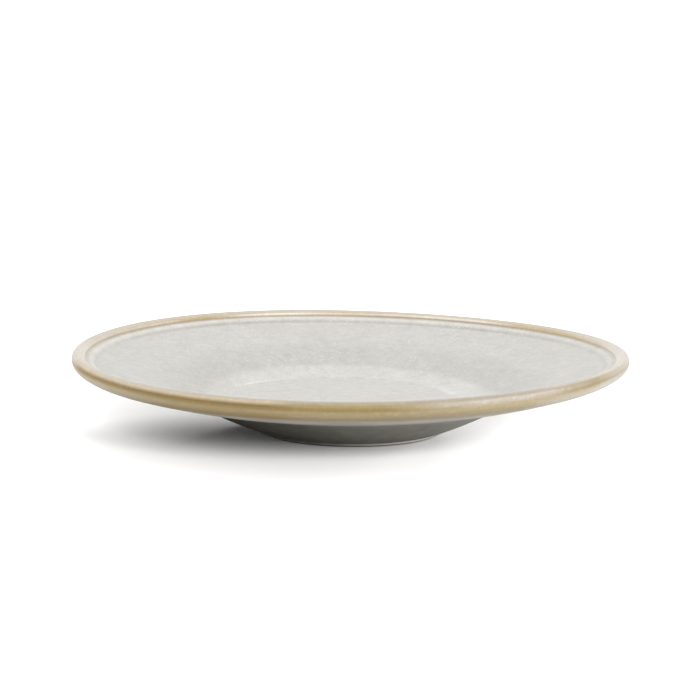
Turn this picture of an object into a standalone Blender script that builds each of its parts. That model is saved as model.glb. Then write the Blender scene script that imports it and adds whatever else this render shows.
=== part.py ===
"""A round stoneware serving dish, turned about +Z, standing on its foot ring. Units are metres."""
import math

import bpy

# Rim bead, measured over the glaze
RIM_RADIUS = 0.140
HEIGHT = 0.040
CREST_INSET = 0.0028        # the crest lies this far inside the widest ring
CREST_RISE = 0.0029         # and this far above it
BEAD_WIDTH = 0.0072         # from the widest ring in to the bead's inner edge
BEAD_STEP = 0.0023          # from the crest down to the bead's inner edge
BEAD_TUCK = 0.0104          # how far the bead's underside runs in from the widest ring
BEAD_DEPTH = 0.0078         # how far it runs down from the widest ring
BEAD_FULLNESS = 0.0036      # drop of the bead's outer face before it turns under

# Pool of glaze inside the bead, which ends at the flange's outer edge
POOL_WIDTH = 0.0063
POOL_DROP = 0.0033
POOL_BEND = 0.0015          # reach of the rounding where the pool meets the flange
FLANGE_RADIUS = RIM_RADIUS - BEAD_WIDTH - POOL_WIDTH
FLANGE_HEIGHT = HEIGHT - BEAD_STEP - POOL_DROP

# Shoulder and well, measured over the glaze
SHOULDER_RADIUS = 0.0887
SHOULDER_HEIGHT = 0.0252
FLOOR_RADIUS = 0.0665
FLOOR_HEIGHT = 0.0150
SHOULDER_BEND = 0.0060
FLOOR_BEND = 0.0032

# Wall, base and foot ring
WALL = 0.0060               # flange and shoulder, through clay and both coats
BASE_THICKNESS = 0.0065
UNDER_BEND = 0.0040
FOOT_RADIUS = 0.0466        # outer edge of the ring that stands on the table
FOOT_WIDTH = 0.0054
FOOT_EDGE = 0.0005          # small bevel of the bare clay
FOOT_SPLAY = 0.0026         # the glaze line lies this far outside the foot's outer edge
GLAZE_LINE = 0.0020         # height of the glaze line above the table
RECESS_DRAFT = 0.0022       # the recess narrows by this much from the glaze line to its ceiling
RECESS_BEND = 0.0020

# Coats of glaze
GLAZE = 0.0005
CLEARANCE = 0.0003          # between a coat and the clay, and between neighbouring coats

# Faceting
TURN_STEPS = 64
BEND_STEPS = 2
BEAD_STEPS = 4

COLLECTION = "serving_dish"


def bend(start, corner, end, steps):
    """Points after the start of a curve that leaves start towards corner and reaches end from it."""
    points = []
    for i in range(1, steps + 1):
        t = i / steps
        points.append(tuple((1 - t) ** 2 * a + 2 * t * (1 - t) * b + t ** 2 * c
                            for a, b, c in zip(start, corner, end)))
    return points


def towards(start, end, reach):
    """The point at a given distance from start on the way to end."""
    length = math.dist(start, end)
    return tuple(a + (b - a) * reach / length for a, b in zip(start, end))


def rounded(corners):
    """Outline through (radius, height, reach) corners, each rounded over its reach along both legs."""
    outline = [corners[0][:2]]
    for before, corner, after in zip(corners, corners[1:], corners[2:]):
        place, reach = corner[:2], corner[2]
        start = towards(place, before[:2], reach)
        outline.append(start)
        outline += bend(start, place, towards(place, after[:2], reach), BEND_STEPS)
    outline.append(corners[-1][:2])
    return outline


def ellipse(centre, width, rise, first, last):
    """Points after the first of a quarter of an ellipse, between two angles in degrees."""
    points = []
    for i in range(1, BEAD_STEPS + 1):
        angle = math.radians(first + (last - first) * i / BEAD_STEPS)
        points.append((centre[0] + width * math.cos(angle), centre[1] + rise * math.sin(angle)))
    return points


def normals(outline):
    """Mitred normals into the clay, which lies to the right of an outline's direction of travel."""
    sides = []
    for start, end in zip(outline, outline[1:]):
        length = math.dist(start, end)
        sides.append(((end[1] - start[1]) / length, (start[0] - end[0]) / length))
    mitres = []
    for a, b in zip(sides[:1] + sides, sides + sides[-1:]):
        spread = 1 + a[0] * b[0] + a[1] * b[1]
        mitres.append(((a[0] + b[0]) / spread, (a[1] + b[1]) / spread))
    return mitres


def sunk(outline, depth):
    """The outline moved into the clay by a depth."""
    return [(r + n[0] * depth, z + n[1] * depth) for (r, z), n in zip(outline, normals(outline))]


def shortened(points, ahead, cut):
    """The points without the first cut metres, measured along the outline that lies ahead."""
    share = cut / math.dist(ahead[0], ahead[1])
    first = tuple(a + (b - a) * share for a, b in zip(points[0], points[1]))
    return [first] + points[1:]


def coat(outline, inside, cut_start, cut_end):
    """Profile of a coat between an outline and its inside, with its ends drawn back."""
    outer, inner = list(outline), list(inside)
    if cut_start:
        inner = shortened(inner, outline, cut_start)
        outer = shortened(outer, outline, cut_start)
    if cut_end:
        back = outline[::-1]
        inner = shortened(inner[::-1], back, cut_end)[::-1]
        outer = shortened(outer[::-1], back, cut_end)[::-1]
    return outer + inner[::-1]


def material(name, colour, roughness):
    surface = bpy.data.materials.new(name)
    surface.use_nodes = True
    shader = surface.node_tree.nodes["Principled BSDF"]
    shader.inputs["Base Color"].default_value = (*colour, 1.0)
    shader.inputs["Roughness"].default_value = roughness
    shader.inputs["Metallic"].default_value = 0.0
    return surface


def turned(name, profile, surface, collection, parent):
    """A solid turned about Z from its profile, closed on itself unless both ends lie on the axis."""
    edges = [(i, i + 1) for i in range(len(profile) - 1)]
    if profile[0][0] > CLEARANCE:
        edges.append((len(profile) - 1, 0))
    mesh = bpy.data.meshes.new(name)
    mesh.from_pydata([(r, 0.0, z) for r, z in profile], edges, [])
    mesh.materials.append(surface)
    piece = bpy.data.objects.new(name, mesh)
    screw = piece.modifiers.new("turn", "SCREW")
    screw.axis = "Z"
    screw.angle = math.tau
    screw.steps = TURN_STEPS
    screw.render_steps = TURN_STEPS
    screw.use_merge_vertices = True
    screw.merge_threshold = 0.00001
    screw.use_smooth_shade = True
    piece.parent = parent
    collection.objects.link(piece)
    return piece


def face_outline():
    """Well floor, shoulder and flange, from the axis out to the bead's inner edge."""
    return rounded([(0.0, FLOOR_HEIGHT),
                    (FLOOR_RADIUS, FLOOR_HEIGHT, FLOOR_BEND),
                    (SHOULDER_RADIUS, SHOULDER_HEIGHT, SHOULDER_BEND),
                    (FLANGE_RADIUS, FLANGE_HEIGHT, POOL_BEND),
                    (RIM_RADIUS - BEAD_WIDTH, HEIGHT - BEAD_STEP)])


def rim_outline():
    """The bead, from its inner edge over the crest and the widest ring to the start of the underside."""
    crest_radius = RIM_RADIUS - CREST_INSET
    widest = (RIM_RADIUS, HEIGHT - CREST_RISE)
    tuck = (RIM_RADIUS - BEAD_TUCK, widest[1] - BEAD_DEPTH)
    points = [(RIM_RADIUS - BEAD_WIDTH, HEIGHT - BEAD_STEP)]
    points += ellipse((crest_radius, HEIGHT - BEAD_STEP), BEAD_WIDTH - CREST_INSET, BEAD_STEP, 180, 90)
    points += ellipse((crest_radius, widest[1]), CREST_INSET, CREST_RISE, 90, 0)
    points += bend(widest, (RIM_RADIUS, widest[1] - BEAD_FULLNESS), tuck, BEAD_STEPS)
    return points


def underside_outline():
    """Under the flange, round the well and down to the glaze line, one wall below the face."""
    face = [(FLOOR_RADIUS, FLOOR_HEIGHT), (SHOULDER_RADIUS, SHOULDER_HEIGHT), (FLANGE_RADIUS, FLANGE_HEIGHT)]
    crease = sunk(face, WALL)[1]
    start = rim_outline()[-1]
    return rounded([start, (*crease, UNDER_BEND), (FOOT_RADIUS + FOOT_SPLAY, GLAZE_LINE)])


def base_outline():
    """The recess inside the foot ring, from its glaze line up to the ceiling and in to the axis."""
    ceiling = FLOOR_HEIGHT - BASE_THICKNESS
    mouth = FOOT_RADIUS - FOOT_WIDTH
    return rounded([(mouth, GLAZE_LINE), (mouth - RECESS_DRAFT, ceiling, RECESS_BEND), (0.0, ceiling)])


def foot_outline():
    """The bare lower edge of the foot ring, from outside to inside."""
    mouth = FOOT_RADIUS - FOOT_WIDTH
    return [(FOOT_RADIUS, FOOT_EDGE), (FOOT_RADIUS - FOOT_EDGE, 0.0),
            (mouth + FOOT_EDGE, 0.0), (mouth, FOOT_EDGE)]


def build():
    for old in list(bpy.data.objects):
        bpy.data.objects.remove(old, do_unlink=True)
    collection = bpy.data.collections.new(COLLECTION)
    bpy.context.scene.collection.children.link(collection)
    stand = bpy.data.objects.new("table_point", None)
    collection.objects.link(stand)

    face, rim, under, base = face_outline(), rim_outline(), underside_outline(), base_outline()
    skin = face + rim[1:] + under[1:]
    inside = sunk(skin, GLAZE)
    clay = sunk(skin, GLAZE + CLEARANCE)
    face_end = len(face)
    rim_end = face_end + len(rim) - 1
    spans = {"face_glaze": (0, face_end), "rim_glaze": (face_end - 1, rim_end),
             "underside_glaze": (rim_end - 1, len(skin))}

    grey = material("grey_glaze", (0.63, 0.61, 0.57), 0.35)
    coats = {"face_glaze": (grey, 0.0, CLEARANCE / 2),
             "rim_glaze": (material("ochre_glaze", (0.42, 0.30, 0.13), 0.25), CLEARANCE / 2, CLEARANCE / 2),
             "underside_glaze": (material("shaded_grey_glaze", (0.50, 0.48, 0.44), 0.35), CLEARANCE / 2, 0.0)}
    for name, (surface, cut_start, cut_end) in coats.items():
        first, last = spans[name]
        turned(name, coat(skin[first:last], inside[first:last], cut_start, cut_end), surface, collection, stand)

    base_surface = material("base_grey_glaze", (0.55, 0.53, 0.49), 0.35)
    turned("base_glaze", sunk(base, GLAZE)[::-1] + base, base_surface, collection, stand)
    core = clay + foot_outline() + sunk(base, GLAZE + CLEARANCE)
    turned("stoneware_body", core, material("fired_clay", (0.48, 0.42, 0.34), 0.8), collection, stand)


build()
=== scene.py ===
"""Looks of a round stoneware serving dish: coats of glaze, bare foot, floor, light and camera.

Lengths are in metres, with +Z up.
"""
import math

import bmesh
import bpy
import numpy as np
from mathutils import Matrix, Vector


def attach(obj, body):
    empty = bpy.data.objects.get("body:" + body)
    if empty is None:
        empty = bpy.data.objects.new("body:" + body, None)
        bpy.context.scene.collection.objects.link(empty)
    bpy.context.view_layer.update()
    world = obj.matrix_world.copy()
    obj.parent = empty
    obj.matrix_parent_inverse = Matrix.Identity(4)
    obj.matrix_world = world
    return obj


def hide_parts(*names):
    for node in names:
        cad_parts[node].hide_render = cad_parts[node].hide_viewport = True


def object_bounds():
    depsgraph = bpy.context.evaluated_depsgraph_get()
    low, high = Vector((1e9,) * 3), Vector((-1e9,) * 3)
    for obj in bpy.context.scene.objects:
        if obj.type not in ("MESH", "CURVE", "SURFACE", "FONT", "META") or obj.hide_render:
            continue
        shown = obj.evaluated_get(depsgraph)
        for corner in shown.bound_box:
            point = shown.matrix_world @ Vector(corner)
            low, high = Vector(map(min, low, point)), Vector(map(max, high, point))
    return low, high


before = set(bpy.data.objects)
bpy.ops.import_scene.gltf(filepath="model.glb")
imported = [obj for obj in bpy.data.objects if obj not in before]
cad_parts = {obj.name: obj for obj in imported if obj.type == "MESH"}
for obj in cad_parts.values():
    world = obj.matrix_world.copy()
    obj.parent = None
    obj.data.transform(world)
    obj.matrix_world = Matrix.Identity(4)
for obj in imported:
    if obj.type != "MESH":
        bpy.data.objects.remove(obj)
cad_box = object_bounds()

# Outline of the dish over the glaze, with the bead's underside and the foot softer than on the solids
RIM_RADIUS = cad_box[1].x
HEIGHT = cad_box[1].z
CREST_INSET = 0.0028
CREST_RISE = 0.0029
BEAD_WIDTH = 0.0072
BEAD_STEP = 0.0023
BEAD_TUCK = 0.0104
BEAD_DEPTH = 0.0078
BEAD_FULLNESS = 0.0046                     # drop of the bead's outer face before it turns under
BEAD_HEART = (0.0038, 0.0041)              # the bead's middle, in from the widest ring and under the crest
POOL_WIDTH = 0.0063
POOL_DROP = 0.0033
POOL_BEND = 0.0012                         # reach of the rounding where the pool meets the flange
SHOULDER = (0.0887, 0.0252)
SHOULDER_BEND = 0.0060
FLOOR_RADIUS = 0.0665
FLOOR_HEIGHT = 0.0150
BASE_THICKNESS = 0.0065
CREASE = (0.0840, 0.0180)                  # where the underside turns from the flange to the well
UNDER_BEND = 0.0040
FOOT_RADIUS = 0.0450
FOOT_WIDTH = 0.0054
FOOT_EDGE = 0.0005
FOOT_SPLAY = 0.0026
FOOT_SETBACK = 0.0001                      # how far the clay lies behind the end of the glaze
FOOT_BAND = 0.0007                         # height of the lower edge of the bare band under the glaze
FOOT_BAND_DRAFT = 0.0007                   # how far the band slopes in
GLAZE_LINE = 0.0017
RECESS_DRAFT = 0.0022
RECESS_BEND = 0.0020
GLAZE = 0.0005
CLEARANCE = 0.0003
BEAD_START = (RIM_RADIUS - BEAD_WIDTH, HEIGHT - BEAD_STEP)
BEAD_CENTRE = (RIM_RADIUS - BEAD_HEART[0], HEIGHT - BEAD_HEART[1])
FLANGE_END = (BEAD_START[0] - POOL_WIDTH, BEAD_START[1] - POOL_DROP)
GLAZE_END = (FOOT_RADIUS + FOOT_SPLAY, GLAZE_LINE)
MOUTH = FOOT_RADIUS - FOOT_WIDTH           # radius of the recess at the table
CEILING = FLOOR_HEIGHT - BASE_THICKNESS

# Handmade irregularities
FLOOR_EDGE_RADIUS = 0.0600                 # the line pressed round the floor
FLOOR_EDGE_DRIFT = (-0.0060, 0.0035)       # how far off the axis its centre lies
FLOOR_EDGE_WIDTH = 0.0004
FLOOR_EDGE_STEP = 0.0003
COVE_RADIUS = 0.0740                       # where the cove runs into the wall of the well
COVE_LEAD = (0.001, 0.0001)                # run and rise to the cove's corner where the line comes near it
THROWING_PITCH = 0.0052
THROWING_DEPTH = 0.00005
WAVE_START = 0.050
FLANGE_BELLY = 0.0006
UNDER_BELLY = 0.0007                       # how far the underside of the well bulges
UNDER_BELLY_PLACE = 0.55                   # its share of the way down to the glaze line
POOL_SWELL = 0.0005
BEAD_SWELL = 0.0002                        # the crest stands this much prouder than on the solids

# Lift of the rim in one, two and three waves round the dish: cosine and sine parts
RIM_WAVES = ((0.00047, -0.00002), (0.00051, -0.00087), (0.00025, 0.00003))

# Faceting
TURN_STEPS = 288
BEND_STEPS = 8
BEAD_STEPS = 12
FLOOR_STEPS = 60
WALL_STEPS = 10
FLANGE_STEPS = 24
UNDER_STEPS = 24
RECESS_STEPS = 4
CEILING_STEPS = 30
FOOT_STEPS = 4
SHARP_ANGLE = math.radians(50)
AXIS_REACH = 1e-6                          # points nearer than this lie on the axis

# Strength of the marks on the rim by direction round the dish: degrees from +X towards +Y, and a share
OCHRE_ROUND = ((-180, 0.2), (-172, 0.35), (-165, 0.7), (-158, 1.15), (-104, 1.1), (-92, 0.6), (-78, 0.15),
               (-60, 0.0), (-48, 0.1), (-38, 0.25), (-26, 0.5), (0, 0.1), (30, 1.05), (46, 0.9), (58, 0.2),
               (78, 0.3), (90, 0.5), (104, 0.2), (118, 0.6), (126, 1.1), (150, 0.4), (180, 0.2))
GOLD_ROUND = ((-180, 0.0), (-108, 0.0), (-97, 1.0), (-86, 1.0), (-79, 0.7), (-72, 0.25), (-64, 0.0),
              (-50, 0.0), (-40, 0.45), (-30, 0.9), (-20, 0.7), (0, 0.1), (20, 0.0), (180, 0.0))
RISE_ROUND = ((-180, 0.4), (-165, 0.6), (-150, 0.5), (-132, 0.15), (-120, 0.0), (-60, 0.0), (-40, 0.2),
              (-26, 0.8), (0, 0.8), (40, 0.3), (60, -0.2), (76, -0.2), (92, 0.3), (140, 0.3), (180, 0.4))
# Thin bare glaze where the ochre gives way at the left and right ends, paled there as well by painted light
# and reflection
ENDS_LIT_ROUND = ((-180, 1.0), (-167, 0.9), (-156, 0.5), (-142, 0.3), (-125, 0.05), (-115, 0.0), (-56, 0.0),
              (-42, 0.7), (-25, 1.0), (0, 1.0), (25, 0.4), (45, 0.0), (140, 0.0), (165, 0.8), (180, 1.0))
# Painted light and reflection that whiten the rim at its very right and left ends, most on its lower outer
# face
TIP_LIT_ROUND = ((-180, 0.5), (-172, 0.45), (-162, 0.0), (-36, 0.0), (-24, 0.55), (-8, 0.8), (2, 0.6),
             (16, 0.5), (34, 0.0), (165, 0.0), (180, 0.5))
# Painted light on the bead's lower outer face at the left and left front
LOWER_EDGE_LIGHT_ROUND = ((-180, 0.45), (-170, 0.8), (-150, 0.8), (-138, 0.2), (-128, 0.0), (168, 0.0), (180, 0.45))
# Painted highlight on the bead's inner side, by direction
GLEAM_ROUND = ((-180, 0.0), (46, 0.0), (60, 0.5), (70, 0.6), (88, 0.0), (96, 0.2), (104, 1.0), (115, 0.8),
               (121, 0.1), (130, 0.0), (138, 0.35), (155, 0.0), (180, 0.0))
# Painted glints on the crest at the front right
GLINT_PLACE_ROUND = ((-180, 0.0), (-78, 0.0), (-60, 0.8), (-50, 1.0), (-38, 0.0), (180, 0.0))
RIM_MARKS = {"ochre": OCHRE_ROUND, "gold": GOLD_ROUND, "ends": ENDS_LIT_ROUND, "rise": RISE_ROUND,
             "tip_lit": TIP_LIT_ROUND, "lower_edge_light": LOWER_EDGE_LIGHT_ROUND, "glint_place": GLINT_PLACE_ROUND, "gleam": GLEAM_ROUND}

# Strength of the marks on the face by direction
# The pool of pale glaze inside the bead is whitened as painted light, most on the left and at the back,
# least at the front right
POOL_LIGHT_ROUND = ((-180, 1.0), (-165, 1.0), (-120, 0.5), (-60, 0.2), (-25, 0.3), (-8, 0.7), (10, 0.5),
              (35, 0.6), (70, 0.9), (150, 1.0), (180, 1.0))
# Painted shade in the corner at the bead's inner edge, weakest at the left and right ends
BEAD_EDGE_SHADE_ROUND = ((-180, 0.25), (-165, 0.1), (-150, 0.5), (-135, 1.0), (-45, 1.0), (-20, 0.5), (-8, 0.1),
               (5, 0.4), (18, 1.0), (45, 0.9), (68, 0.5), (88, 0.9), (150, 1.0), (168, 0.5), (180, 0.25))
# Painted shade in the concave corner where the pool meets the flange, mostly at the back
CORNER_SHADE_ROUND = ((-180, 0.0), (14, 0.0), (36, 0.5), (60, 1.0), (125, 1.0), (150, 0.4), (170, 0.0), (180, 0.0))
# The pale cove band is a painted highlight, strongest towards the back left and the back right
COVE_ROUND = ((-180, 0.0), (-90, 0.15), (0, 0.15), (12, 0.25), (28, 0.6), (46, 0.35), (62, 0.28),
              (90, 0.32), (115, 0.35), (138, 0.6), (156, 0.0), (180, 0.0))
# How far the cove's painted highlight climbs the wall, by direction
COVE_REACH_ROUND = ((-180, 0.0), (0, 0.0), (14, -0.6), (26, -0.6), (45, 0.0), (62, 0.4), (88, 1.0),
                    (118, 1.0), (145, 0.5), (160, 0.0), (180, 0.0))
# Painted highlight along the floor's edge line, towards the back left and the back right
EDGE_HIGHLIGHT_ROUND = ((-180, 0.0), (12, 0.0), (23, 0.5), (46, 0.05), (100, 0.05), (134, 0.6), (141, 0.8),
              (147, 0.0), (180, 0.0))
FACE_MARKS = {"pool": POOL_LIGHT_ROUND, "bead_edge_shade": BEAD_EDGE_SHADE_ROUND, "corner_shade": CORNER_SHADE_ROUND, "cove": COVE_ROUND,
              "cove_reach": COVE_REACH_ROUND, "line": EDGE_HIGHLIGHT_ROUND}

# Strength of painted shade, a brown darkening of the underside and the foot, by direction; strongest at the
# left front
PAINTED_SHADE_ROUND = ((-180, 0.9), (-135, 1.0), (-112, 0.75), (-100, 0.4), (-88, 0.2), (-74, 0.08), (-60, 0.0),
               (140, 0.0), (180, 0.9))
PAINTED_SHADE_MARKS = {"painted_shade": PAINTED_SHADE_ROUND}

# Colours of the face
GREY = (0.588, 0.577, 0.541)
# Painted shade: the wall of the well is a darker grey than the flange and the floor
WALL_SHADE_GREY = (0.552, 0.540, 0.505)
FLOOR_GREY = (0.603, 0.594, 0.561)
# Pale grey of the painted highlight in the cove
PALE = (0.700, 0.692, 0.660)
# White of the painted highlight along the floor's edge
EDGE_HIGHLIGHT_WHITE = (0.860, 0.855, 0.835)
# Pale pooled glaze, whitened as painted light
LIT_WHITE_POOL = (0.705, 0.682, 0.632)
# Grey of the painted shade where the pool meets the flange
CORNER_SHADE_GREY = (0.480, 0.464, 0.428)
# Brown grey of the painted shade at the bead's inner edge
BEAD_EDGE_SHADE = (0.450, 0.390, 0.310)
SPECK = (0.84, 0.83, 0.80)

# Colours of the rim
EDGE_GREY = (0.560, 0.520, 0.440)
UMBER = (0.410, 0.275, 0.110)
RUSSET = (0.510, 0.360, 0.150)
TAN = (0.580, 0.450, 0.235)
OCHRE = (0.300, 0.197, 0.060)
HONEY = (0.615, 0.510, 0.360)
KHAKI = (0.475, 0.370, 0.200)
FAWN = (0.605, 0.480, 0.275)
SAND = (0.630, 0.510, 0.285)
OLIVE = (0.440, 0.315, 0.120)
GOLD = (0.460, 0.355, 0.160)
MOSS = (0.400, 0.310, 0.165)
PUTTY = (0.550, 0.450, 0.310)
BUFF = (0.720, 0.600, 0.365)
# Pale cream glaze that also carries a painted highlight on the crest and the bead's inner side
CREAM_AND_HIGHLIGHT = (0.725, 0.645, 0.545)
# Painted shade on the top of the bead where it turns inwards, and along its inner edge
DUSK_SHADE = (0.480, 0.420, 0.330)
BONE = (0.605, 0.540, 0.440)
BRONZE = (0.585, 0.460, 0.275)
# Near white of the painted highlight on the bead's inner side
HIGHLIGHT_PEARL = (0.930, 0.875, 0.780)
PEACH = (0.840, 0.710, 0.510)
# Pale ash used as painted light: a highlight at the end of the glaze under the dish, and light on the
# bead's lower face at the ends
ASH = (0.800, 0.765, 0.680)
# White of the painted light and reflection at the rim's very ends
TIP_LIT_WHITE = (0.865, 0.845, 0.795)
# Pale green grey of the painted light on the bead's lower outer face
LOWER_EDGE_LIGHT = (0.700, 0.705, 0.620)
GLINT = (0.87, 0.83, 0.76)

# Colours of the underside and the clay
# Underside glaze darkened far below the face's grey, as painted shade under the dish
UNDER_SHADE_GREY = (0.198, 0.188, 0.157)
# Brown of the painted shade on the underside and the foot
UNDER_SHADE_BROWN = (0.066, 0.055, 0.034)
# Rings under the dish: painted shade near the foot and round the well, paler towards the rim as painted
# light
UNDER_DEEP = (0.170, 0.157, 0.128)
UNDER_DIM = (0.180, 0.168, 0.138)
UNDER_TURN = (0.295, 0.283, 0.242)
UNDER_LIGHT_GREY = (0.415, 0.396, 0.337)
UNDER_PALE = (0.600, 0.565, 0.470)
UNDER_TUCK = (0.570, 0.520, 0.420)
# Bare clay darkened far below its fired colour, as painted shade where the foot meets the floor
CLAY_SHADE_DARK = (0.140, 0.136, 0.120)
CLAY_SHADE_PALE = (0.200, 0.194, 0.172)
CLAY_SPECK = (0.10, 0.09, 0.075)
# Painted highlight on the clay just under the end of the glaze
FOOT_HIGHLIGHT = (0.370, 0.366, 0.330)

# Bands on the face and the underside: radius, and a colour or a share
FACE_BANDS = ((0.0, FLOOR_GREY), (0.0710, FLOOR_GREY), (0.0760, WALL_SHADE_GREY), (0.0880, WALL_SHADE_GREY),
              (0.1030, GREY))
COVE_BAND = ((0.0570, 0.0), (0.0615, 1.0), (0.0705, 0.9), (0.0760, 0.0))
EDGE_HIGHLIGHT_BAND = ((0.0592, 0.0), (0.0599, 0.9), (0.0604, 0.7), (0.0640, 0.0))
CORNER_SHADE_BAND = ((0.1262, 0.0), (0.1280, 1.0), (0.1288, 1.0), (0.1296, 0.0))
POOL_BAND = ((0.1275, 0.0), (0.1294, 0.9), (0.1304, 1.0), (0.1316, 0.3))
BEAD_EDGE_SHADE_BAND = ((0.1303, 0.0), (0.1317, 0.9), (BEAD_START[0], 1.0))
# Under the dish: a painted highlight line at the end of the glaze, painted shade above it, and paler rings
# under the flange as painted light
UNDER_BANDS = ((0.0, UNDER_SHADE_GREY), (0.0470, UNDER_SHADE_GREY), (0.0476, ASH), (0.0485, ASH), (0.0496, UNDER_DEEP),
               (0.0620, UNDER_DIM), (0.0780, UNDER_SHADE_GREY), (0.0870, UNDER_TURN), (0.1050, UNDER_LIGHT_GREY),
               (0.1180, UNDER_PALE), (0.1300, UNDER_TUCK))
PAINTED_SHADE_BAND = ((0.0950, 1.0), (0.1150, 0.0))

# Bands round the bead's section: degrees from outwards towards up, and a colour or a share
RICH_BANDS = ((-138, EDGE_GREY), (-118, UMBER), (-98, UMBER), (-62, RUSSET), (-30, TAN), (-10, TAN),
              (22, OCHRE), (27, OCHRE), (46, HONEY), (54, HONEY), (68, DUSK_SHADE), (85, DUSK_SHADE), (105, BONE),
              (120, BRONZE), (142, BRONZE), (150, DUSK_SHADE))
GOLD_BANDS = ((-138, EDGE_GREY), (-120, KHAKI), (-98, KHAKI), (-60, FAWN), (-28, SAND), (-12, SAND),
              (10, OLIVE), (22, OLIVE), (31, GOLD), (42, MOSS), (50, MOSS), (62, DUSK_SHADE), (85, DUSK_SHADE),
              (105, BONE), (128, CREAM_AND_HIGHLIGHT), (142, CREAM_AND_HIGHLIGHT), (150, DUSK_SHADE))
THIN_BANDS = ((-138, EDGE_GREY), (-115, PUTTY), (-98, PUTTY), (-60, FAWN), (-12, BUFF), (2, BUFF),
              (24, CREAM_AND_HIGHLIGHT), (36, CREAM_AND_HIGHLIGHT), (51, DUSK_SHADE), (85, DUSK_SHADE), (105, BONE), (120, BONE), (130, CREAM_AND_HIGHLIGHT),
              (142, CREAM_AND_HIGHLIGHT), (150, DUSK_SHADE))
# Bands at the ends: thin bare glaze, its lower face paled by painted light
BARE_LIT_BANDS = ((-138, ASH), (-100, ASH), (-35, ASH), (-8, PEACH), (8, PEACH), (45, BONE), (110, BONE),
              (130, CREAM_AND_HIGHLIGHT), (150, DUSK_SHADE))
BARE_LIT_SHARES = ((-138, 1.0), (-25, 1.0), (0, 0.7), (10, 0.05), (45, 0.05), (65, 0.9), (150, 0.8))
TIP_LIT_SHARES = ((-138, 1.0), (-10, 1.0), (10, 0.55), (45, 0.55), (80, 0.3), (150, 0.2))
LOWER_EDGE_LIGHT_SHARES = ((-138, 1.0), (-85, 1.0), (-55, 0.6), (-30, 0.0))
GLEAM_SHARES = ((122, 0.0), (131, 1.0), (139, 1.0), (146, 0.0))
GLINT_SHARES = ((16, 0.0), (24, 0.7), (38, 0.7), (46, 0.0))
RIM_ROUGHNESS = ((-138, 0.45), (-40, 0.36), (60, 0.34), (95, 0.22), (150, 0.20))
RISE = math.radians(14)                    # how far the bands climb the bead at full rise
COVE_REACH = 0.0028                        # how far the pale cove climbs the wall at full reach
FOOT_HIGHLIGHT_BAND = ((0.52, 0.0), (0.66, 1.0))     # share of the glaze line's height, and of the painted highlight

# Mottle of the face: scale of the noise, its detail and its depth
MOTTLES = ((30.0, 3.0, 0.02), (110.0, 1.0, 0.035), (260.0, 1.0, 0.05), (650.0, 1.0, 0.06))
MOTTLE_RANGE = (0.25, 0.75)                # levels of the noise at which it is darkest and palest

# Noise: its level, and the roughness, the tint or the colour that it gives
FACE_ROUGHNESS = ((0.3, 0.46), (0.7, 0.56))
UNDER_ROUGHNESS = ((0.3, 0.36), (0.7, 0.48))
CLAY_ROUGHNESS = ((0.3, 0.75), (0.7, 0.92))
RIM_CLOUD = ((0.35, 0.96), (0.65, 1.04))
RIM_GRAIN = ((0.3, 0.94), (0.55, 1.0), (0.75, 1.12))
UNDER_CLOUD = ((0.35, 0.90), (0.65, 1.08))
CLAY_CLOUD = ((0.3, CLAY_SHADE_DARK), (0.7, CLAY_SHADE_PALE))
NOISE_MIDDLE = 0.5

# Shares of single effects
SPECK_SHARE = 0.40
SPECK_CORE = 0.6                           # part of a speck's radius that is full
CLAY_SPECK_SHARE = 0.5
# Share of the painted shade on the clay
CLAY_PAINTED_SHADE_SHARE = 0.6
OCHRE_WAVER = 0.3                          # how far the ochre's strength wanders
RIM_SPECULAR = 0.4

# Camera, from the dish's outline in the photograph
CAMERA_DISTANCE = 1.400
CAMERA_HEIGHT = 0.2772
CAMERA_PITCH = math.radians(9.5914)
CAMERA_ROLL = 0.0119
CAMERA_LENS = 145.0
CAMERA_SIDE = -0.0003
CAMERA_FAR = 100.0

# Floor
FLOOR_SIZE = 60.0
FLOOR_COLOUR = 0.37                        # as it throws light back on the dish
FLOOR_MIRRORED = 0.40                      # as the glaze mirrors it
FLOOR_WHITE = 0.80                         # as the camera sees it

# Lights: name, azimuth and elevation in degrees, strength and spread in degrees
TOP_LIGHT = ("top_light", -90, 70, 1.0, 26)
UNDER_LIGHT = ("under_light", -15, 14, 6.0, 40)
FLOOR_LIGHTS = (("front_light", -60, 20, 4.40, 14),
                ("front_right_light", -36, 20, 0.50, 14),
                ("near_light", -88, 21, 2.20, 14),
                ("right_light", 48, 5, 4.80, 14),
                ("back_right_light", 70, 13, 7.60, 14))
SKY_LIGHT = 0.82                           # as the surroundings light the scene
SKY_WHITE = 1.0                            # as the camera and the glaze see them


# Outlines

def between(start, end, share):
    """The point at a share of the way from start to end."""
    return tuple(a + (b - a) * share for a, b in zip(start, end))


def towards(start, end, reach):
    """The point at a given distance from start on the way to end."""
    return between(start, end, reach / math.dist(start, end))


def straight(start, end, steps):
    """Evenly spaced points after the start of a straight line."""
    return [between(start, end, i / steps) for i in range(1, steps + 1)]


def bend(start, corner, end, steps=BEND_STEPS):
    """Points after the start of a curve that leaves start towards corner and reaches end from it."""
    points = []
    for i in range(1, steps + 1):
        t = i / steps
        points.append(tuple((1 - t) ** 2 * a + 2 * t * (1 - t) * b + t ** 2 * c
                            for a, b, c in zip(start, corner, end)))
    return points


def ellipse(centre, width, rise, first, last):
    """Points after the first of a quarter of an ellipse, between two angles in degrees."""
    points = []
    for i in range(1, BEAD_STEPS + 1):
        angle = math.radians(first + (last - first) * i / BEAD_STEPS)
        points.append((centre[0] + width * math.cos(angle), centre[1] + rise * math.sin(angle)))
    return points


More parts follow.
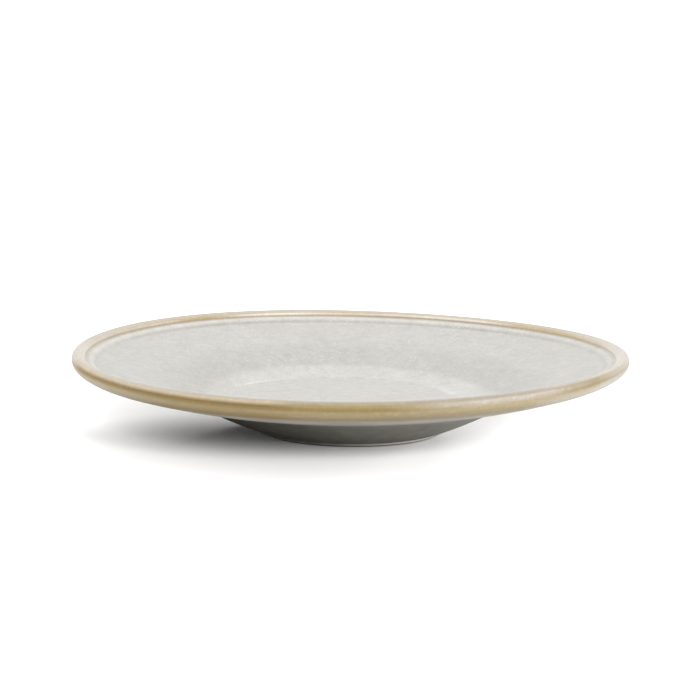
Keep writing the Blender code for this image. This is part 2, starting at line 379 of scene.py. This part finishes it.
def sunk(outline, depth):
    """The outline moved to the right of its direction of travel, which is into the clay."""
    line = np.array(outline)
    sides = np.diff(line, axis=0)
    sides = np.stack([sides[:, 1], -sides[:, 0]], axis=1) / np.linalg.norm(sides, axis=1)[:, None]
    before, after = np.vstack([sides[:1], sides]), np.vstack([sides, sides[-1:]])
    mitres = (before + after) / (1 + np.sum(before * after, axis=1))[:, None]
    return [tuple(p) for p in line + mitres * depth]


def floor_edge(angle):
    """Distance of the floor's edge line from the axis, in a direction, or on the mean outline."""
    if angle is None:
        return FLOOR_EDGE_RADIUS
    along = FLOOR_EDGE_DRIFT[0] * math.cos(angle) + FLOOR_EDGE_DRIFT[1] * math.sin(angle)
    across = FLOOR_EDGE_DRIFT[0] * math.sin(angle) - FLOOR_EDGE_DRIFT[1] * math.cos(angle)
    return along + math.sqrt(FLOOR_EDGE_RADIUS ** 2 - across ** 2)


def wall_height(radius):
    """Height of the straight wall of the well."""
    slope = (SHOULDER[1] - FLOOR_HEIGHT) / (SHOULDER[0] - FLOOR_RADIUS)
    return FLOOR_HEIGHT + slope * (radius - FLOOR_RADIUS)


def floor_outline(edge, turn):
    """The floor with its throwing rings, from the axis to the far side of its edge line."""
    points = [(0.0, FLOOR_HEIGHT)]
    for i in range(1, FLOOR_STEPS + 1):
        radius = edge * i / FLOOR_STEPS
        ripple = THROWING_DEPTH * math.sin(math.tau * radius / THROWING_PITCH - turn)
        fade = min(1.0, radius / THROWING_PITCH, (edge - radius) / THROWING_PITCH)
        points.append((radius, FLOOR_HEIGHT + ripple * fade))
    points.append((edge + FLOOR_EDGE_WIDTH, FLOOR_HEIGHT + FLOOR_EDGE_STEP))
    return points


def face_outline(angle):
    """Floor, cove, wall, shoulder, flange and the roll of glaze inside the bead, from the axis outwards."""
    points = floor_outline(floor_edge(angle), angle or 0.0)
    lip = points[-1]
    cove_end = (COVE_RADIUS, wall_height(COVE_RADIUS))
    corner = (FLOOR_RADIUS, FLOOR_HEIGHT + FLOOR_EDGE_STEP)
    if corner[0] < lip[0] + COVE_LEAD[0]:
        corner = (lip[0] + COVE_LEAD[0], lip[1] + COVE_LEAD[1])
    points += bend(lip, corner, cove_end)
    shoulder_in = towards(SHOULDER, cove_end, SHOULDER_BEND)
    shoulder_out = towards(SHOULDER, FLANGE_END, SHOULDER_BEND)
    points += straight(cove_end, shoulder_in, WALL_STEPS)
    points += bend(shoulder_in, SHOULDER, shoulder_out)
    flange_stop = towards(FLANGE_END, SHOULDER, POOL_BEND)
    points += straight(shoulder_out, flange_stop, FLANGE_STEPS)
    roll_start = towards(FLANGE_END, BEAD_START, POOL_BEND)
    points += bend(flange_stop, FLANGE_END, roll_start)
    middle = between(roll_start, BEAD_START, 0.5)
    points += bend(roll_start, (middle[0] - POOL_SWELL, middle[1] + 2 * POOL_SWELL), BEAD_START)
    return points


def rim_outline():
    """The bead, from its inner edge over the crest and the widest ring to the start of the underside."""
    crest_radius = RIM_RADIUS - CREST_INSET
    widest = (RIM_RADIUS, HEIGHT - CREST_RISE)
    tuck = (RIM_RADIUS - BEAD_TUCK, widest[1] - BEAD_DEPTH)
    rise = BEAD_STEP + BEAD_SWELL
    points = [BEAD_START]
    points += ellipse((crest_radius, BEAD_START[1]), BEAD_WIDTH - CREST_INSET, rise, 180, 90)
    points += ellipse((crest_radius, widest[1]), CREST_INSET, CREST_RISE + BEAD_SWELL, 90, 0)
    points += bend(widest, (RIM_RADIUS, widest[1] - BEAD_FULLNESS), tuck, 2 * BEAD_STEPS)
    return points


def underside_outline():
    """Under the flange, round the well and down to the glaze line."""
    start = rim_outline()[-1]
    before, after = towards(CREASE, start, UNDER_BEND), towards(CREASE, GLAZE_END, UNDER_BEND)
    middle = between(start, before, 0.5)
    low = between(after, GLAZE_END, UNDER_BELLY_PLACE)
    points = [start]
    points += bend(start, (middle[0], middle[1] - 2 * FLANGE_BELLY), before, UNDER_STEPS)
    points += bend(before, CREASE, after)
    points += bend(after, (low[0], low[1] - 2 * UNDER_BELLY), GLAZE_END, UNDER_STEPS)
    return points


def base_outline():
    """The recess inside the foot ring, from its glaze line up to the ceiling and in to the axis."""
    start, corner = (MOUTH, GLAZE_LINE), (MOUTH - RECESS_DRAFT, CEILING)
    before, after = towards(corner, start, RECESS_BEND), (corner[0] - RECESS_BEND, CEILING)
    points = [start]
    points += straight(start, before, RECESS_STEPS)
    points += bend(before, corner, after)
    points += straight(after, (0.0, CEILING), CEILING_STEPS)
    return points


def foot_outline():
    """The bare lower edge of the foot ring, from outside to inside."""
    top = (GLAZE_END[0] - FOOT_SETBACK, GLAZE_LINE - CLEARANCE)
    low = (GLAZE_END[0] - FOOT_BAND_DRAFT, FOOT_BAND)
    outer = bend(low, (FOOT_RADIUS + FOOT_EDGE, 0.0), (FOOT_RADIUS - FOOT_EDGE, 0.0))
    inside = (MOUTH + FOOT_EDGE, 0.0)
    return [top, low] + outer + [inside] + bend(inside, (MOUTH, 0.0), (MOUTH, FOOT_EDGE), FOOT_STEPS)


def skin(angle):
    """The glazed outside, from the axis to the outer glaze line, and where its face and its rim end."""
    face, rim, under = face_outline(angle), rim_outline(), underside_outline()
    return face + rim[1:] + under[1:], len(face), len(face) + len(rim) - 1


def coat_profile(part):
    """A function of the angle that gives the closed section of one coat."""
    def profile(angle):
        line, face_end, rim_end = skin(angle)
        first, last = {"face": (0, face_end), "rim": (face_end - 1, rim_end),
                       "under": (rim_end - 1, len(line))}[part]
        inner = sunk(line, GLAZE)
        return line[first:last] + inner[first:last][::-1]
    return profile


def base_profile(angle):
    """The closed section of the coat inside the foot ring, the same at every angle."""
    line = base_outline()
    return sunk(line, GLAZE)[::-1] + line


def clay_profile(angle):
    """The section of the clay, a clearance under the coats and bare at the foot."""
    depth = GLAZE + CLEARANCE
    return sunk(skin(angle)[0], depth) + foot_outline() + sunk(base_outline(), depth)


# Meshes

def lift(radius, angle):
    """How far the handmade dish rises above a true turned one."""
    waves = sum(c * math.cos(n * angle) + s * math.sin(n * angle) for n, (c, s) in enumerate(RIM_WAVES, 1))
    return waves * max(0.0, (radius - WAVE_START) / (RIM_RADIUS - WAVE_START))


def strength(table, angle):
    """The share that a table gives for a direction, with smooth steps between its entries."""
    turn = (math.degrees(angle) + 180) % 360 - 180
    for (first, low), (last, high) in zip(table, table[1:]):
        if first <= turn <= last:
            t = (turn - first) / (last - first)
            return low + (high - low) * t * t * (3 - 2 * t)
    return 0.0


def turned(name, profile, node, surface, marks):
    """A closed solid swept round the axis.

    Each point keeps its place on the mean outline and the strength of each mark.
    """
    mean = profile(None)
    on_axis = [r < AXIS_REACH for r, z in mean]
    closed = not on_axis[0]
    shape = bmesh.new()
    place = shape.verts.layers.float_vector.new("place")
    layers = {mark: shape.verts.layers.float.new(mark) for mark in marks}
    rings = []
    for step in range(TURN_STEPS):
        angle = math.tau * step / TURN_STEPS
        ring = []
        for i, (r, z) in enumerate(profile(angle)):
            if on_axis[i] and step:
                ring.append(rings[0][i])
                continue
            vert = shape.verts.new((r * math.cos(angle), r * math.sin(angle), z + lift(r, angle)))
            vert[place] = (mean[i][0], mean[i][1], 0.0)
            for mark, layer in layers.items():
                vert[layer] = strength(marks[mark], angle)
            ring.append(vert)
        rings.append(ring)
    count = len(mean)
    for step, ring in enumerate(rings):
        following = rings[(step + 1) % TURN_STEPS]
        for i in range(count if closed else count - 1):
            j = (i + 1) % count
            corners = [ring[i], following[i], following[j], ring[j]]
            corners = [c for k, c in enumerate(corners) if c not in corners[:k]]
            if len(corners) > 2:
                shape.faces.new(corners)
    bmesh.ops.recalc_face_normals(shape, faces=shape.faces)
    mesh = bpy.data.meshes.new(name)
    shape.to_mesh(mesh)
    shape.free()
    mesh.shade_smooth()
    mesh.set_sharp_from_angle(angle=SHARP_ANGLE)
    mesh.materials.append(surface)
    piece = bpy.data.objects.new(name, mesh)
    bpy.context.scene.collection.objects.link(piece)
    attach(piece, "root")
    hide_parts(node)
    return piece


# Materials

class Nodes:
    """The node tree of a material or a world, with short ways to add nodes."""

    def __init__(self, owner):
        owner.use_nodes = True
        self.owner = owner
        self.tree = owner.node_tree
        self.shader = self.tree.nodes.get("Principled BSDF")

    def add(self, kind, inputs=None, **settings):
        node = self.tree.nodes.new("ShaderNode" + kind)
        for key, value in settings.items():
            setattr(node, key, value)
        for key, value in (inputs or {}).items():
            self.set(node.inputs[key], value)
        return node

    def set(self, socket, value):
        if isinstance(value, bpy.types.NodeSocket):
            self.tree.links.new(value, socket)
        else:
            socket.default_value = value

    def ramp(self, factor, stops, smooth=True):
        """Colour or grey stops over a factor from 0 to 1."""
        node = self.add("ValToRGB", {"Fac": factor})
        ramp = node.color_ramp
        ramp.interpolation = "EASE" if smooth else "LINEAR"
        while len(ramp.elements) < len(stops):
            ramp.elements.new(0.5)
        for element, (place, colour) in zip(ramp.elements, stops):
            element.position = place
            element.color = (*colour, 1.0) if isinstance(colour, tuple) else (colour, colour, colour, 1.0)
        return node.outputs["Color"]

    def spread(self, value, low, high):
        """A value mapped from a range to 0..1."""
        return self.add("MapRange", {"Value": value, "From Min": low, "From Max": high}).outputs["Result"]

    def mix(self, factor, first, second, how="MIX"):
        """One colour mixed into another by a factor."""
        node = self.add("Mix", data_type="RGBA", blend_type=how)
        self.set(node.inputs["Factor"], factor)
        self.set(node.inputs[6], first)
        self.set(node.inputs[7], (*second, 1.0) if isinstance(second, tuple) else second)
        return node.outputs[2]

    def math(self, how, first, second):
        node = self.add("Math", operation=how)
        self.set(node.inputs[0], first)
        self.set(node.inputs[1], second)
        return node.outputs[0]

    def noise(self, scale, detail=3.0, rough=0.5, vector=None):
        node = self.add("TexNoise", {"Scale": scale, "Detail": detail, "Roughness": rough})
        self.set(node.inputs["Vector"], vector or self.spot())
        return node.outputs["Fac"]

    def spot(self):
        return self.add("TexCoord").outputs["Object"]

    def place(self):
        """Radius and height on the mean outline."""
        split = self.add("SeparateXYZ")
        self.set(split.inputs[0], self.add("Attribute", attribute_name="place").outputs["Vector"])
        return split.outputs["X"], split.outputs["Y"]

    def mark(self, name, shade=None):
        """Strength of a mark by direction, kept on the mesh, and times a shade if one is given."""
        share = self.add("Attribute", attribute_name=name).outputs["Fac"]
        return self.math("MULTIPLY", share, shade) if shade else share

    def round_way(self, along, across, level):
        """A texture place that runs round the rim: slow along it, and faster across it with a level."""
        flat = self.add("VectorMath", {0: self.spot(), 1: (1.0, 1.0, 0.0)}, operation="MULTIPLY").outputs[0]
        way = self.add("VectorMath", {0: flat}, operation="NORMALIZE").outputs[0]
        scaled = self.add("VectorMath", {0: way, "Scale": along}, operation="SCALE").outputs[0]
        side = self.add("CombineXYZ", {"Z": self.math("MULTIPLY", level, across)}).outputs[0]
        return self.add("VectorMath", {0: scaled, 1: side}, operation="ADD").outputs[0]

    def finish(self, colour, rough, height, strength, distance):
        """The material with its colour, its roughness and a bump."""
        bump = self.add("Bump", {"Height": height, "Strength": strength, "Distance": distance})
        self.set(self.shader.inputs["Base Color"], colour)
        self.set(self.shader.inputs["Roughness"], rough)
        self.set(self.shader.inputs["Normal"], bump.outputs["Normal"])
        return self.owner


def stops(low, high, pairs):
    """Ramp stops given at real radii or angles."""
    return [((place - low) / (high - low), colour) for place, colour in pairs]


def speckle(nodes, scale, share, size):
    """A mask of small round specks, each cell of a lattice holding one at most."""
    cells = nodes.add("TexVoronoi", {"Vector": nodes.spot(), "Scale": scale, "Randomness": 1.0})
    near = nodes.ramp(cells.outputs["Distance"], [(size * SPECK_CORE, 1.0), (size, 0.0)])
    split = nodes.add("SeparateColor")
    nodes.set(split.inputs[0], cells.outputs["Color"])
    chosen = nodes.math("LESS_THAN", split.outputs[0], share)
    return nodes.math("MULTIPLY", near, chosen)


def face_material():
    """Satin grey glaze, finely mottled, paler in the cove, along the floor's edge and inside the bead as
    painted highlight and light, with painted shade on the wall and in corners.
    """
    nodes = Nodes(bpy.data.materials.new("face_glaze_finish"))
    radius = nodes.place()[0]
    reach = nodes.math("MULTIPLY", nodes.mark("cove_reach"), COVE_REACH)
    plain = nodes.spread(radius, 0.0, RIM_RADIUS)
    climbed = nodes.spread(nodes.math("SUBTRACT", radius, reach), 0.0, RIM_RADIUS)
    colour = nodes.ramp(climbed, stops(0.0, RIM_RADIUS, FACE_BANDS))
    # Rings of painted highlight, painted light and painted shade over the face's greys
    for mark, band, over, shade in (("cove", COVE_BAND, climbed, PALE),
                                    ("line", EDGE_HIGHLIGHT_BAND, plain, EDGE_HIGHLIGHT_WHITE),
                                    ("corner_shade", CORNER_SHADE_BAND, plain, CORNER_SHADE_GREY),
                                    ("pool", POOL_BAND, plain, LIT_WHITE_POOL),
                                    ("bead_edge_shade", BEAD_EDGE_SHADE_BAND, plain, BEAD_EDGE_SHADE)):
        part = nodes.mark(mark, nodes.ramp(over, stops(0.0, RIM_RADIUS, band)))
        colour = nodes.mix(part, colour, shade)
    for scale, detail, depth in MOTTLES:
        cloud = nodes.noise(scale, detail, rough=0.6)
        mottle = nodes.ramp(cloud, list(zip(MOTTLE_RANGE, (1 - depth, 1 + depth))), smooth=False)
        colour = nodes.mix(1.0, colour, mottle, "MULTIPLY")
    specks = speckle(nodes, scale=700.0, share=0.14, size=0.40)
    colour = nodes.mix(nodes.math("MULTIPLY", specks, SPECK_SHARE), colour, SPECK)
    rough = nodes.ramp(nodes.noise(scale=120.0), FACE_ROUGHNESS)
    return nodes.finish(colour, rough, nodes.noise(scale=420.0), strength=0.10, distance=0.0003)


def rim_material():
    """Glaze that breaks in bands round the bead, from rich ochre to thin and pale, by direction, with
    painted highlights, glints, painted light at the ends and painted shade on the inner top.
    """
    nodes = Nodes(bpy.data.materials.new("rim_glaze_finish"))
    radius, height = nodes.place()
    turn = nodes.math("ARCTAN2", nodes.math("SUBTRACT", height, BEAD_CENTRE[1]),
                      nodes.math("SUBTRACT", radius, BEAD_CENTRE[0]))
    risen = nodes.math("SUBTRACT", turn, nodes.math("MULTIPLY", nodes.mark("rise"), RISE))
    share = nodes.spread(risen, -math.pi, math.pi)

    def bands(pairs):
        return nodes.ramp(share, stops(-180, 180, pairs), smooth=False)

    streak = nodes.noise(scale=1.0, vector=nodes.round_way(along=5.0, across=3.0, level=turn))
    waver = nodes.math("MULTIPLY", nodes.math("SUBTRACT", streak, NOISE_MIDDLE), OCHRE_WAVER)
    ochre = nodes.math("ADD", nodes.mark("ochre"), waver)
    ochre = nodes.ramp(ochre, [(0.0, 0.0), (1.0, 1.0)], smooth=False)
    colour = nodes.mix(ochre, bands(THIN_BANDS), bands(RICH_BANDS))
    colour = nodes.mix(nodes.mark("gold"), colour, bands(GOLD_BANDS))
    # Bare glaze at the left and right ends, partly painted light and reflection
    colour = nodes.mix(nodes.mark("ends", bands(BARE_LIT_SHARES)), colour, bands(BARE_LIT_BANDS))
    for mark, shares, shade in (("tip_lit", TIP_LIT_SHARES, TIP_LIT_WHITE), ("lower_edge_light", LOWER_EDGE_LIGHT_SHARES, LOWER_EDGE_LIGHT),
                                ("gleam", GLEAM_SHARES, HIGHLIGHT_PEARL)):
        colour = nodes.mix(nodes.mark(mark, bands(shares)), colour, shade)
    cloud = nodes.noise(scale=1.0, rough=0.6, vector=nodes.round_way(along=12.0, across=6.0, level=turn))
    colour = nodes.mix(1.0, colour, nodes.ramp(cloud, RIM_CLOUD), "MULTIPLY")
    grain = nodes.noise(scale=420.0, detail=2.0, rough=0.7)
    colour = nodes.mix(1.0, colour, nodes.ramp(grain, RIM_GRAIN, smooth=False), "MULTIPLY")
    # Painted glints: small white specks of highlight on the crest at the front right
    specks = speckle(nodes, scale=330.0, share=0.35, size=0.5)
    glints = nodes.math("MULTIPLY", specks, bands(GLINT_SHARES))
    colour = nodes.mix(nodes.mark("glint_place", glints), colour, GLINT)
    nodes.shader.inputs["Specular IOR Level"].default_value = RIM_SPECULAR
    rough = nodes.ramp(share, stops(-180, 180, RIM_ROUGHNESS))
    return nodes.finish(colour, rough, nodes.noise(scale=90.0, detail=2.0), strength=0.05, distance=0.0006)


def underside_material(name):
    """Satin grey glaze in rings of painted light and shade, browner by direction as painted shade."""
    nodes = Nodes(bpy.data.materials.new(name))
    share = nodes.spread(nodes.place()[0], 0.0, RIM_RADIUS)
    rings = nodes.ramp(share, stops(0.0, RIM_RADIUS, UNDER_BANDS), smooth=False)
    # Painted shade: browner by direction inside the flange
    inner = nodes.ramp(share, stops(0.0, RIM_RADIUS, PAINTED_SHADE_BAND))
    colour = nodes.mix(nodes.mark("painted_shade", inner), rings, UNDER_SHADE_BROWN)
    cloud = nodes.ramp(nodes.noise(scale=45.0, detail=5.0, rough=0.6), UNDER_CLOUD)
    colour = nodes.mix(1.0, colour, cloud, "MULTIPLY")
    rough = nodes.ramp(nodes.noise(scale=120.0), UNDER_ROUGHNESS)
    return nodes.finish(colour, rough, nodes.noise(scale=420.0), strength=0.12, distance=0.0004)


def clay_material():
    """Gritty clay darkened as painted shade, with a painted highlight just under the end of the glaze."""
    nodes = Nodes(bpy.data.materials.new("fired_clay_finish"))
    height = nodes.place()[1]
    cloud = nodes.ramp(nodes.noise(scale=160.0, detail=6.0, rough=0.7), CLAY_CLOUD)
    specks = speckle(nodes, scale=900.0, share=0.25, size=0.4)
    colour = nodes.mix(nodes.math("MULTIPLY", specks, CLAY_SPECK_SHARE), cloud, CLAY_SPECK)
    # Painted highlight along the top of the bare band
    colour = nodes.mix(nodes.ramp(nodes.spread(height, 0.0, GLAZE_LINE), FOOT_HIGHLIGHT_BAND), colour, FOOT_HIGHLIGHT)
    # Painted shade: the foot browner by direction
    painted_shade = nodes.math("MULTIPLY", nodes.mark("painted_shade"), CLAY_PAINTED_SHADE_SHARE)
    colour = nodes.mix(painted_shade, colour, UNDER_SHADE_BROWN)
    rough = nodes.ramp(nodes.noise(scale=600.0), CLAY_ROUGHNESS)
    return nodes.finish(colour, rough, nodes.noise(scale=1500.0, detail=4.0), strength=0.5, distance=0.0003)


# Stage

def floor():
    """A plain pale floor; the camera sees it brighter, so that only the deeper shadow shows on white."""
    bpy.ops.mesh.primitive_plane_add(size=FLOOR_SIZE)
    plane = bpy.context.object
    plane.name = "floor"
    nodes = Nodes(bpy.data.materials.new("floor_finish"))
    nodes.tree.nodes.remove(nodes.shader)
    path = nodes.add("LightPath").outputs
    mirrored = nodes.math("MAXIMUM", path["Is Glossy Ray"], path["Is Transmission Ray"])
    plain, pale, white = (nodes.add("BsdfDiffuse", {"Color": (grey, grey, grey, 1.0)}).outputs[0]
                          for grey in (FLOOR_COLOUR, FLOOR_MIRRORED, FLOOR_WHITE))
    unseen = nodes.add("MixShader", {0: mirrored, 1: plain, 2: pale}).outputs[0]
    shown = nodes.add("MixShader", {0: path["Is Camera Ray"], 1: unseen, 2: white}).outputs[0]
    nodes.set(nodes.tree.nodes["Material Output"].inputs["Surface"], shown)
    plane.data.materials.append(nodes.owner)
    return plane


def sun(name, azimuth, elevation, strength, spread, lit_pieces):
    """A soft light at infinity that falls on some pieces only; azimuth 0 is +X, 90 is +Y."""
    lamp = bpy.data.lights.new(name, "SUN")
    lamp.energy = strength
    lamp.angle = math.radians(spread)
    holder = bpy.data.objects.new(name, lamp)
    a, e = math.radians(azimuth), math.radians(elevation)
    towards_lamp = Vector((math.cos(a) * math.cos(e), math.sin(a) * math.cos(e), math.sin(e)))
    holder.rotation_mode = "QUATERNION"
    holder.rotation_quaternion = towards_lamp.to_track_quat("Z", "Y")
    bpy.context.scene.collection.objects.link(holder)
    lit = bpy.data.collections.new("lit_by_" + name)
    for piece in lit_pieces:
        lit.objects.link(piece)
    holder.light_linking.receiver_collection = lit


def surroundings():
    """White all round for the camera and in the glaze, and a little dimmer as light."""
    world = bpy.data.worlds.new("studio")
    bpy.context.scene.world = world
    nodes = Nodes(world)
    nodes.tree.nodes.clear()
    path = nodes.add("LightPath").outputs
    seen = nodes.math("MAXIMUM", path["Is Camera Ray"], path["Is Glossy Ray"])
    seen = nodes.math("MAXIMUM", seen, path["Is Transmission Ray"])
    dim, white = (nodes.add("Background", {"Color": (1.0, 1.0, 1.0, 1.0), "Strength": level}).outputs[0]
                  for level in (SKY_LIGHT, SKY_WHITE))
    shown = nodes.add("MixShader", {0: seen, 1: dim, 2: white}).outputs[0]
    nodes.add("OutputWorld", {"Surface": shown})


def camera():
    """The photograph's camera, in front of the dish and a little above it."""
    data = bpy.data.cameras.new("camera")
    data.lens = CAMERA_LENS
    data.clip_end = CAMERA_FAR
    holder = bpy.data.objects.new("camera", data)
    place = Matrix.Translation((CAMERA_SIDE, -CAMERA_DISTANCE, CAMERA_HEIGHT))
    tilt = Matrix.Rotation(math.pi / 2 - CAMERA_PITCH, 4, "X")
    holder.matrix_world = place @ tilt @ Matrix.Rotation(CAMERA_ROLL, 4, "Z")
    bpy.context.scene.collection.objects.link(holder)
    bpy.context.scene.camera = holder


bpy.context.scene.view_settings.view_transform = "Standard"
camera()
face = turned("face_coat", coat_profile("face"), "face_glaze", face_material(), FACE_MARKS)
rim = turned("rim_coat", coat_profile("rim"), "rim_glaze", rim_material(), RIM_MARKS)
under = turned("underside_coat", coat_profile("under"), "underside_glaze",
               underside_material("underside_glaze_finish"), PAINTED_SHADE_MARKS)
base = turned("base_coat", base_profile, "base_glaze",
              underside_material("base_glaze_finish"), {})
body = turned("clay_body", clay_profile, "stoneware_body", clay_material(), PAINTED_SHADE_MARKS)

ground = floor()
sun(*TOP_LIGHT, [face, rim, under, base, body])
sun(*UNDER_LIGHT, [under, base, body])
for lamp in FLOOR_LIGHTS:
    sun(*lamp, [ground])
surroundings()
